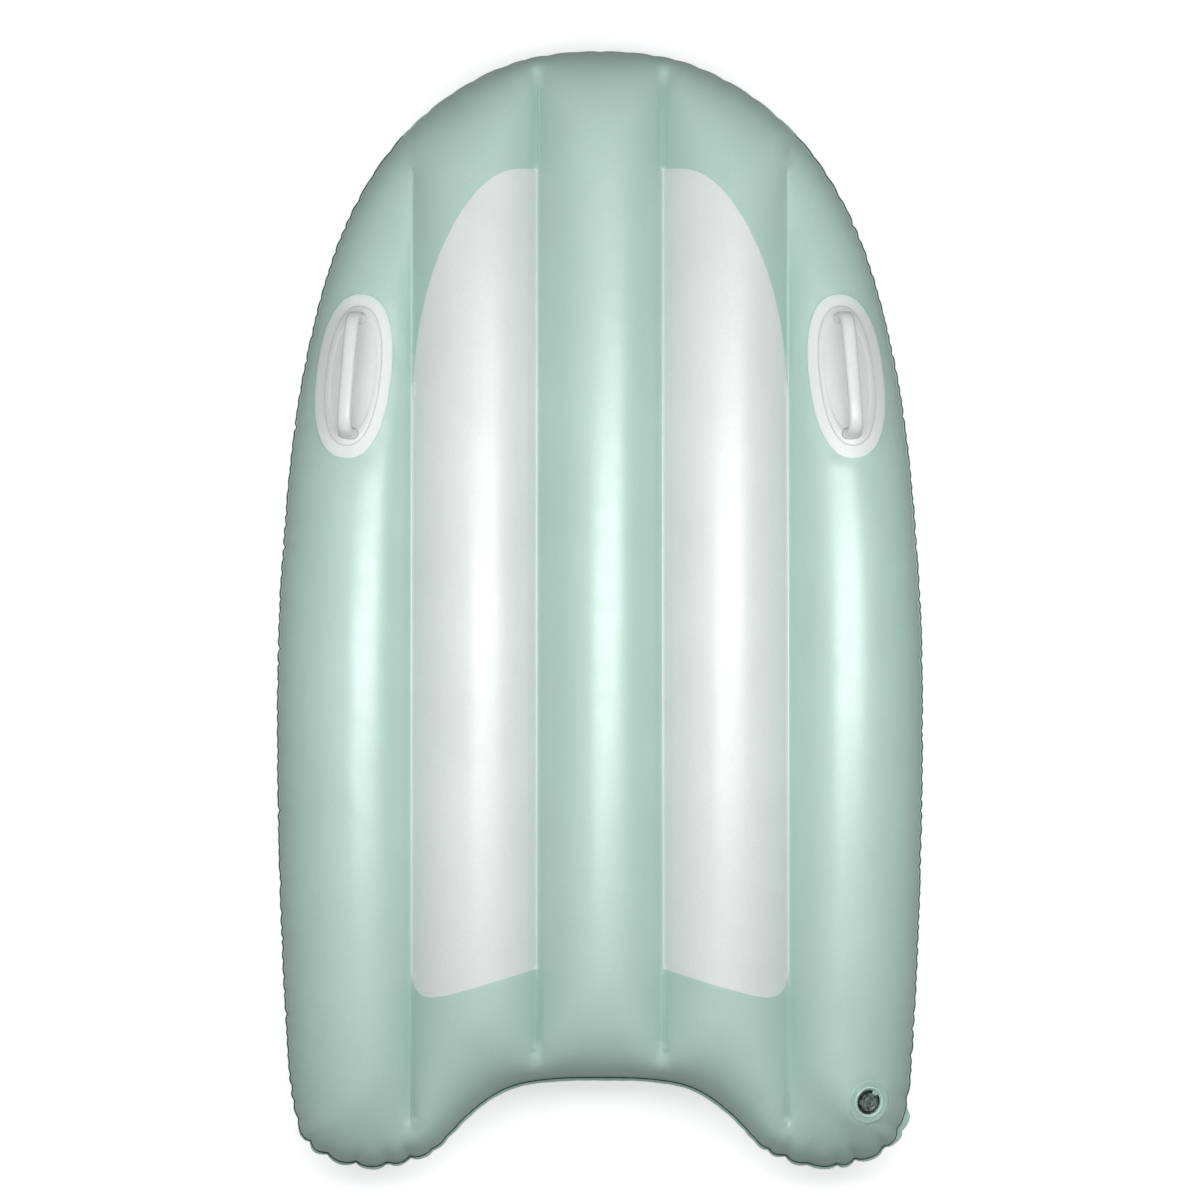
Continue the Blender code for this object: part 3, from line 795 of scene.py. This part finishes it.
def draped_oval(name, side, size, profile, steps=96):
    """An oval of film on the top skin, with a profile from the middle out."""
    angle = np.arange(steps) / steps * 2 * math.pi
    shares = np.repeat([share for share, _ in profile], steps)
    lifts = np.repeat([lift for _, lift in profile], steps)
    round_x, round_y = (
        np.sign(v) * np.abs(v) ** (2 / OVAL_FULLNESS) for v in (np.cos(angle), np.sin(angle))
    )
    across = shares * np.tile(round_x, len(profile)) * size[0] / 2
    along = shares * np.tile(round_y, len(profile)) * size[1] / 2
    plan = handle_plan(side, np.append(along, 0), np.append(across, 0))
    points = on_top_skin(plan, np.append(lifts, profile[0][1]))
    faces = [(k, (k + 1) % steps, len(profile) * steps) for k in range(steps)]
    for level in range(len(profile) - 1):
        inner, outer = level * steps, (level + 1) * steps
        for k in range(steps):
            n = (k + 1) % steps
            faces.append((inner + n, inner + k, outer + k, outer + n))
    mesh = bpy.data.meshes.new(name)
    mesh.from_pydata(points.tolist(), [], faces)
    mesh.shade_smooth()
    obj = new_object(name, mesh)
    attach(obj, "board")
    return obj


def grip_path(side, steps):
    """The grip's centre line: an arch with rounded corners that stands on the base."""
    t = np.linspace(0, math.pi, steps)
    along = -np.sign(np.cos(t)) * np.abs(np.cos(t)) ** (2 / GRIP_CORNERS) * GRIP_LENGTH / 2
    rise = np.abs(np.sin(t)) ** (2 / GRIP_CORNERS) * GRIP_RISE
    plan = handle_plan(side, along, side * along * math.sin(GRIP_TURN))
    foot = on_top_skin(plan, np.full(steps, GRIP_FOOT))
    normal = surface_normals(handle_plan(side, np.zeros(1), np.zeros(1)), top_height)[0]
    path = foot + normal * rise[:, None]
    run = np.concatenate([[0], np.cumsum(np.linalg.norm(np.diff(path, axis=0), axis=1))])
    at = np.linspace(0, run[-1], GRIP_STATIONS)
    return np.stack([np.interp(at, run, path[:, k]) for k in range(3)], axis=1), normal


def swept(name, path, across, wides, thicks, body, steps=28):
    """A strap with a rounded section, swept along a path that turns about the across axis."""
    angle = np.arange(steps) / steps * 2 * math.pi
    wide = np.sign(np.cos(angle)) * np.abs(np.cos(angle)) ** 0.75
    thick = np.sign(np.sin(angle)) * np.abs(np.sin(angle)) ** 0.85
    points = []
    for k, point in enumerate(path):
        ahead = path[min(k + 1, len(path) - 1)] - path[max(k - 1, 0)]
        outward = np.cross(across, ahead)
        outward /= np.linalg.norm(outward)
        spread = across * (wide * wides[k] / 2)[:, None] + outward * (thick * thicks[k] / 2)[:, None]
        points.append(point + spread)
    faces = []
    for level in range(len(path) - 1):
        for k in range(steps):
            n = (k + 1) % steps
            a, b = level * steps, (level + 1) * steps
            faces.append((a + k, a + n, b + n, b + k))
    faces.append(tuple(range(steps))[::-1])
    faces.append(tuple(range((len(path) - 1) * steps, len(path) * steps)))
    mesh = bpy.data.meshes.new(name)
    mesh.from_pydata(np.vstack(points).tolist(), [], faces)
    bm = bmesh.new()
    bm.from_mesh(mesh)
    bmesh.ops.recalc_face_normals(bm, faces=bm.faces)
    bm.to_mesh(mesh)
    bm.free()
    mesh.shade_smooth()
    strap = new_object(name, mesh)
    if body:
        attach(strap, body)
    return strap


def build_grip(name, side):
    """The bar and its two legs: one rounded strap swept along the arch, wider at the feet."""
    path, normal = grip_path(side, GRIP_POINTS)
    tilt = HANDLE_TILT - GRIP_TURN
    along = np.array([-side * math.sin(tilt), math.cos(tilt), 0])
    across = np.cross(along, normal)
    across /= np.linalg.norm(across)
    end = np.abs(np.linspace(-1, 1, len(path)))
    foot = np.maximum(0, (end - FOOT_SHARE) / (1 - FOOT_SHARE)) ** 2
    flare = 1 + LEG_FLARE * end**4 + FOOT_FLARE * foot
    return swept(name, path, across, GRIP_SECTION[0] * flare, GRIP_SECTION[1] * flare, "board")


def build_handle(side, word, white_film, rim_film, plastic):
    """A handle: its welded patch, the stepped base, and the bar with its legs."""
    inner = [(share, PATCH_LIFT) for share in np.linspace(0.08, 0.94, 14)]
    patch = draped_oval(f"patch_{word}", side, PATCH_SIZE, inner + PATCH_EDGE)
    material_slots(patch, white_film, rim_film)
    for polygon in patch.data.polygons:
        middle = np.array([patch.data.vertices[k].co[:2] for k in polygon.vertices]).mean(axis=0)
        polygon.material_index = int(oval_share(middle[None], side, PATCH_SIZE)[0] > PATCH_RIM)
    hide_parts(f"handle_patch_{word}")

    sunk = [(share, BASE_TOP - 0.0005) for share in np.linspace(0.08, 0.76, 9)]
    base = draped_oval(f"handle_base_{word}", side, BASE_SIZE, sunk + BASE_RIM)
    material_slots(base, plastic)
    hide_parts(f"grab_handle_{word}")
    grip = build_grip(f"grip_{word}", side)
    material_slots(grip, plastic)


# ---------------------------------------------------------------- the valve

# Radii and heights on the valve's own axis, from the plane of its seat
STEM_RADIUS = 0.0068
STEM_LIP = STEM_RADIUS + 0.0007
STEM_BOTTOM = -0.0170
BORE_RADIUS = 0.0048
RIM_RADIUS = 0.0145
WELL_RADIUS = 0.0121
RIDGES = (0.0188, 0.0174, 0.0160)
FOLD_WALL = 0.0005
FOLD_RADIUS, FOLD_TOP, FOLD_FLOOR = 0.0105, -0.0015, -0.0065
CAP_RADIUS, CAP_UNDER = 0.0084, 0.00095
TETHER_LOW, TETHER_HIGH = -0.0001, 0.0017
TETHER_WIDTH, TETHER_THICKNESS = 0.0040, 0.0006


def turned(name, profile, body, material, *nodes, steps=96):
    """A closed (radius, height) profile turned about the valve's axis."""
    bm = bmesh.new()
    verts = [bm.verts.new((radius, 0, height)) for radius, height in profile]
    loop = [bm.edges.new((a, b)) for a, b in zip(verts, verts[1:] + verts[:1])]
    bmesh.ops.spin(
        bm, geom=verts + loop, cent=(0, 0, 0), axis=(0, 0, 1), angle=2 * math.pi, steps=steps
    )
    bmesh.ops.remove_doubles(bm, verts=bm.verts, dist=1e-6)
    loose = [edge for edge in bm.edges if not edge.link_faces]
    bmesh.ops.delete(bm, geom=loose, context="EDGES")
    bmesh.ops.recalc_face_normals(bm, faces=bm.faces)
    bm.transform(VALVE)
    mesh = bpy.data.meshes.new(name)
    bm.to_mesh(mesh)
    bm.free()
    mesh.shade_smooth()
    mesh.set_sharp_from_angle(angle=math.radians(35))
    obj = new_object(name, mesh)
    material_slots(obj, material)
    if body:
        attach(obj, body)
    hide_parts(*nodes)
    return obj


def rounded(profile, corner=0.00025):
    """The closed profile with each corner cut into two."""
    found = []
    points = [np.array(p) for p in profile]
    for before, here, after in zip(points[-1:] + points[:-1], points, points[1:] + points[:1]):
        if here[0] < 1e-6:
            found.append(tuple(here))
            continue
        for other in (before, after):
            away = other - here
            length = np.linalg.norm(away)
            found.append(tuple(here + away / length * min(corner, 0.3 * length)))
    return found


def flange_profile():
    """The flange's ring with three weld ridges, its raised rim, and the collar into the hole."""
    under, skin, rim = 0.00005, 0.0007, 0.0017
    profile = [(0.0204, under), (0.0203, 0.0002), (0.0197, skin)]
    for ridge in RIDGES:
        profile += [(ridge + 0.0006, skin), (ridge, skin + 0.0003), (ridge - 0.0006, skin)]
    profile += [(0.0148, skin), (0.0143, rim - 0.0003), (0.0139, rim), (0.0134, rim)]
    profile += [(0.0129, rim - 0.0003), (0.0125, 0.0007), (0.0122, 0.0000), (0.0110, -0.0009)]
    profile += [(0.0109, -0.0025), (0.0115, -0.0025), (0.0115, under)]
    return profile


def build_valve(flange_film, rim_film, clear_in_painted_shade):
    """The flange, with a lighter film on its rim as a painted highlight and a near-black one in its well as
    painted shade, and the pieces that move in it.
    """
    flange = turned("flange", flange_profile(), "board", flange_film, "valve_flange")
    material_slots(flange, rim_film, clear_in_painted_shade)
    inverse = VALVE.inverted()
    for polygon in flange.data.polygons:
        place = inverse @ polygon.center
        radius = math.hypot(place.x, place.y)
        # Faces inside the rim take the lighter film, a painted highlight, and those inside the well the
        # near-black film, painted shade.
        polygon.material_index = int(radius < RIM_RADIUS) + int(radius < WELL_RADIUS)
    build_fold(clear_in_painted_shade)
    build_stem_and_plug(clear_in_painted_shade)
    build_tether(clear_in_painted_shade)


def build_fold(clear_in_painted_shade):
    """The diaphragm: a folded cup between the flange and the stem's neck."""
    inside, neck, floor = FOLD_RADIUS - FOLD_WALL, STEM_RADIUS + 0.0003, FOLD_FLOOR
    cup = [(FOLD_RADIUS, FOLD_TOP), (FOLD_RADIUS, floor + 0.001), (FOLD_RADIUS - 0.001, floor)]
    cup += [(neck, floor), (neck, floor + FOLD_WALL), (inside - 0.0008, floor + FOLD_WALL)]
    cup += [(inside, floor + 0.0015), (inside, FOLD_TOP)]
    fold = turned("diaphragm", cup, None, clear_in_painted_shade, "valve_diaphragm")
    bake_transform(fold)


def build_stem_and_plug(clear_in_painted_shade):
    """The stem's tube with its lip, and the plug, a tapered bung under a dished cap."""
    stem = [(STEM_RADIUS, STEM_BOTTOM), (STEM_RADIUS, -0.0002), (STEM_LIP, -0.0002), (STEM_LIP, 0.0006)]
    stem += [(BORE_RADIUS + 0.0004, 0.0006), (BORE_RADIUS, 0.0001), (BORE_RADIUS, STEM_BOTTOM)]
    turned("stem", rounded(stem), "stem", clear_in_painted_shade, "valve_stem")
    bung, cap = BORE_RADIUS - 0.0003, CAP_RADIUS
    plug = [(0, 0.0017), (0, -0.0070), (bung - 0.0010, -0.0070), (bung, -0.0058), (bung, CAP_UNDER)]
    plug += [(cap, CAP_UNDER), (cap, 0.0020), (cap - 0.0004, 0.0024), (cap - 0.0014, 0.0024)]
    plug += [(cap - 0.0020, 0.0018), (0.0046, 0.0017), (0.0042, 0.0021), (0.0034, 0.0021)]
    plug += [(0.0030, 0.0017)]
    turned("plug", rounded(plug, 0.00015), "plug", clear_in_painted_shade, "valve_plug")


def build_tether(clear_in_painted_shade):
    """The strap from the cap's edge, out, down and back to the stem's lip."""
    low, high = TETHER_LOW, TETHER_HIGH
    line = [(0.0082, high), (0.0097, high), (0.0101, (low + high) / 2), (0.0097, low), (0.0076, low)]
    path = np.array([VALVE @ Vector((-r, 0, z)) for r, z in resample(line, 0.0003)])
    across = np.array(VALVE.to_3x3().col[1])
    wides, thicks = np.full(len(path), TETHER_WIDTH), np.full(len(path), TETHER_THICKNESS)
    tether = swept("tether", path, across, wides, thicks, None, steps=16)
    material_slots(tether, clear_in_painted_shade)
    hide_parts("plug_tether")
    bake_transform(tether)


# ---------------------------------------------------------------- materials

# Noise scales of the films: spots of colour, moulded grain, patches of sheen
FINE_MOTTLE = 700.0
GRAIN_SCALE = 1300.0
SHEEN_SCALE = 60.0


def principled(name, colour, roughness, **settings):
    """A material whose settings name the shader's sockets, with _ for a space."""
    material = bpy.data.materials.new(name)
    material.use_nodes = True
    shader = material.node_tree.nodes["Principled BSDF"]
    shader.inputs["Base Color"].default_value = (*colour, 1)
    shader.inputs["Roughness"].default_value = roughness
    for socket, value in settings.items():
        shader.inputs[socket.replace("_", " ")].default_value = value
    return material


def film_material(name, colour, roughness, grain=0.00005, clouds=(9.0, 0.97, 1.03), **settings):
    """Soft PVC: clouds are (scale, darkest, lightest), over a fine mottle and a moulded grain."""
    material = principled(name, colour, roughness, **settings)
    nodes, links = material.node_tree.nodes, material.node_tree.links
    shader = nodes["Principled BSDF"]
    place = nodes.new("ShaderNodeNewGeometry")

    def noise(scale, detail, rough):
        node = nodes.new("ShaderNodeTexNoise")
        node.inputs["Scale"].default_value = scale
        node.inputs["Detail"].default_value = detail
        node.inputs["Roughness"].default_value = rough
        links.new(place.outputs["Position"], node.inputs["Vector"])
        return node.outputs["Fac"]

    def ramp(value, low, high, start=0.3, stop=0.7):
        node = nodes.new("ShaderNodeMapRange")
        node.inputs["From Min"].default_value = start
        node.inputs["From Max"].default_value = stop
        node.inputs["To Min"].default_value = low
        node.inputs["To Max"].default_value = high
        links.new(value, node.inputs["Value"])
        return node.outputs["Result"]

    size, darkest, lightest = clouds
    tint = nodes.new("ShaderNodeHueSaturation")
    tint.inputs["Color"].default_value = (*colour, 1)
    mottle = nodes.new("ShaderNodeMath")
    mottle.operation = "MULTIPLY"
    links.new(ramp(noise(size, 3.0, 0.5), darkest, lightest), mottle.inputs[0])
    links.new(ramp(noise(FINE_MOTTLE, 3.0, 0.65), 0.955, 1.045), mottle.inputs[1])
    links.new(mottle.outputs[0], tint.inputs["Value"])
    links.new(tint.outputs["Color"], shader.inputs["Base Color"])
    sheen = ramp(noise(SHEEN_SCALE, 4.0, 0.55), roughness - 0.03, roughness + 0.04)
    links.new(sheen, shader.inputs["Roughness"])
    bump = nodes.new("ShaderNodeBump")
    bump.inputs["Strength"].default_value = 1.0
    bump.inputs["Distance"].default_value = grain
    links.new(noise(GRAIN_SCALE, 3.0, 0.55), bump.inputs["Height"])
    links.new(bump.outputs["Normal"], shader.inputs["Normal"])
    return material


# ---------------------------------------------------------------- camera, light and floor

TARGET = Vector((0.0, 0.0093, 0.07))
CAMERA_TILT = math.radians(3.0)
CAMERA_DISTANCE = 7.0
FRAME_WIDTH = 1.1184  # the width that the frame takes in at the target
FLOOR_HALF = 6.0
FLOOR_DROP = 0.0005
FLOOR_GLOW = 0.53
SKY_STRENGTH = 0.36

# Softboxes: place, what they face, size along x and y, watts
KEY = ((0.20, 0.057, 1.05), (0.0, 0.02, 0.1), 0.32, 0.77, 6.5)
FILL = ((0.12, 0.05, 1.2), (0.12, 0.05, 0.0), 2.4, 0.8, 20.2)


def softbox(name, centre, aim, size_x, size_y, power):
    """A rectangular light that faces its aim and can't be seen itself."""
    light = bpy.data.lights.new(name, "AREA")
    light.shape = "RECTANGLE"
    light.size = size_x
    light.size_y = size_y
    light.energy = power
    lamp = new_object(name, light)
    lamp.location = centre
    lamp.rotation_euler = (Vector(aim) - Vector(centre)).to_track_quat("-Z", "Y").to_euler()
    lamp.visible_camera = False
    return lamp


def build_studio():
    """The camera nearly overhead, a pale floor, the room's light and two softboxes.

    The key only gives the highlights along the chambers, and the fill only the even light.
    """
    scene = bpy.context.scene
    scene.view_settings.view_transform = "Standard"
    camera = bpy.data.cameras.new("camera")
    camera.sensor_width = 36
    camera.lens = camera.sensor_width * CAMERA_DISTANCE / FRAME_WIDTH
    camera.clip_end = 50
    seen_from = new_object("camera", camera)
    away = Vector((0, -math.sin(CAMERA_TILT), math.cos(CAMERA_TILT)))
    seen_from.location = TARGET + away * CAMERA_DISTANCE
    up = Vector((0, math.cos(CAMERA_TILT), math.sin(CAMERA_TILT)))
    seen_from.rotation_euler = Matrix((up.cross(away), up, away)).transposed().to_euler()
    scene.camera = seen_from

    mesh = bpy.data.meshes.new("floor")
    corners = [(x * FLOOR_HALF, y * FLOOR_HALF, 0) for x, y in ((-1, -1), (1, -1), (1, 1), (-1, 1))]
    mesh.from_pydata(corners, [], [(0, 1, 2, 3)])
    floor = new_object("floor", mesh)
    floor.location.z = -FLOOR_DROP
    floor.visible_diffuse = False
    floor.visible_glossy = False
    paper = film_material("floor_paper", (0.80, 0.80, 0.80), 0.9, grain=0.00001)
    shader = paper.node_tree.nodes["Principled BSDF"]
    shader.inputs["Emission Color"].default_value = (1, 1, 1, 1)
    shader.inputs["Emission Strength"].default_value = FLOOR_GLOW
    floor.data.materials.append(paper)

    world = bpy.data.worlds.new("studio")
    scene.world = world
    world.use_nodes = True
    sky = world.node_tree.nodes["Background"]
    sky.inputs["Color"].default_value = (1, 1, 1, 1)
    sky.inputs["Strength"].default_value = SKY_STRENGTH

    key = softbox("key", *KEY)
    key.visible_diffuse = False
    fill = softbox("fill", *FILL)
    fill.visible_glossy = False


def main():
    gloss = {"Specular_IOR_Level": 0.68, "IOR": 1.6}
    print_gloss = {"Specular_IOR_Level": 0.45, "IOR": 1.6}
    mint = film_material("mint_film", (0.345, 0.498, 0.445), 0.33, **gloss)
    panel = film_material("panel_print", (0.565, 0.600, 0.587), 0.33, **print_gloss)
    # The strip is the same film, but lighter than the mint: painted light shining through the thin strip.
    margin = film_material("margin_film_painted_light", (0.40, 0.58, 0.52), 0.30, **gloss)
    # Near black: painted shade in the crease between the weld's bead and the strip.
    crease = film_material("crease_painted_shade_film", (0.022, 0.042, 0.036), 0.55, Specular_IOR_Level=0.25)
    white_film = film_material("patch_film", (0.60, 0.63, 0.62), 0.38)
    rim_film = film_material("patch_rim", (0.55, 0.63, 0.60), 0.34)
    plastic = film_material("handle_plastic", (0.58, 0.605, 0.60), 0.34, grain=0.00003)
    flange = film_material("flange_film", (0.335, 0.495, 0.440), 0.26, grain=0.00002, **gloss)
    # Lighter than the flange film: a painted highlight round the valve's rim.
    rim = film_material("valve_rim_painted_highlight", (0.48, 0.64, 0.59), 0.24, grain=0.00002, **gloss)
    # Clear PVC coloured near black: painted shade of the board's dark inside, seen through the valve, and
    # its bright specks are painted glints.
    shade_and_glints = {"grain": 0.00012, "clouds": (330.0, 0.1, 2.6), "Specular_IOR_Level": 0.6}
    clear_in_painted_shade = film_material("clear_pvc_painted_shade", (0.066, 0.088, 0.082), 0.12, **shade_and_glints)
    web = film_material("web_film", (0.42, 0.58, 0.53), 0.42)
    for name, material in (("check_flap", clear_in_painted_shade), *((web_name, web) for web_name in WEB_NODES)):
        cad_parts[name].material_slots[0].material = material
    # Darker than the mint film: painted shade along the valleys' floors, where the webs' welds show.
    weld = film_material("weld_line_painted_shade", (0.255, 0.385, 0.340), 0.36, **gloss)
    seam = build_skins(mint, panel, weld)
    build_margin(seam, margin, crease)
    for side, word in ((-1, "left"), (1, "right")):
        build_handle(side, word, white_film, rim_film, plastic)
    build_valve(flange, rim, clear_in_painted_shade)
    build_studio()


main()
